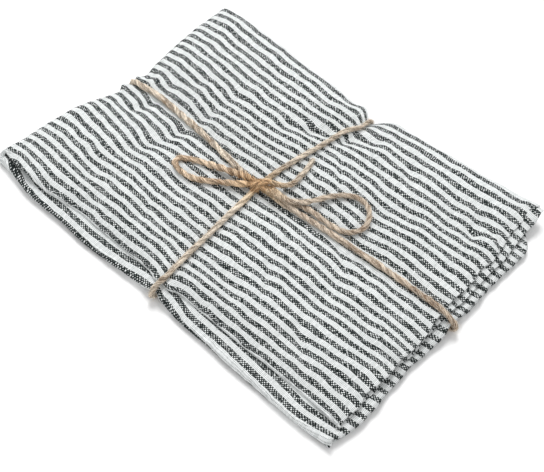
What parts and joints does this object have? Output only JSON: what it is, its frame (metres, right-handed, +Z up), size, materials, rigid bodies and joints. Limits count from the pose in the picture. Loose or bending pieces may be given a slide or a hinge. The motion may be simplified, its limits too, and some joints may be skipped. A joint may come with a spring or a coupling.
{
  "type": "tea towel",
  "caption": "Striped cotton tea towel folded in quarters into a flat bundle and tied crosswise with jute twine in a bow.",
  "frame": {"origin": "middle of the bundle's box in plan, at the height of its underside", "axes": "+X along the stripes from the crosswise fold to the hems, +Y from the lengthwise folds to the long edges, +Z up"},
  "size_m": [0.3682, 0.2591, 0.0236],
  "materials": {
    "striped_cotton": "woven, dark and white stripes of about 4 mm",
    "jute": "two-ply twine, fuzzy"
  },
  "bodies": {
    "root": {"towel": "striped_cotton", "twine_lengthwise": "jute", "twine_crosswise": "jute", "bow_left": "jute", "bow_right": "jute", "twine_end": "jute", "twine_knot": "jute"}
  },
  "joints": []
}
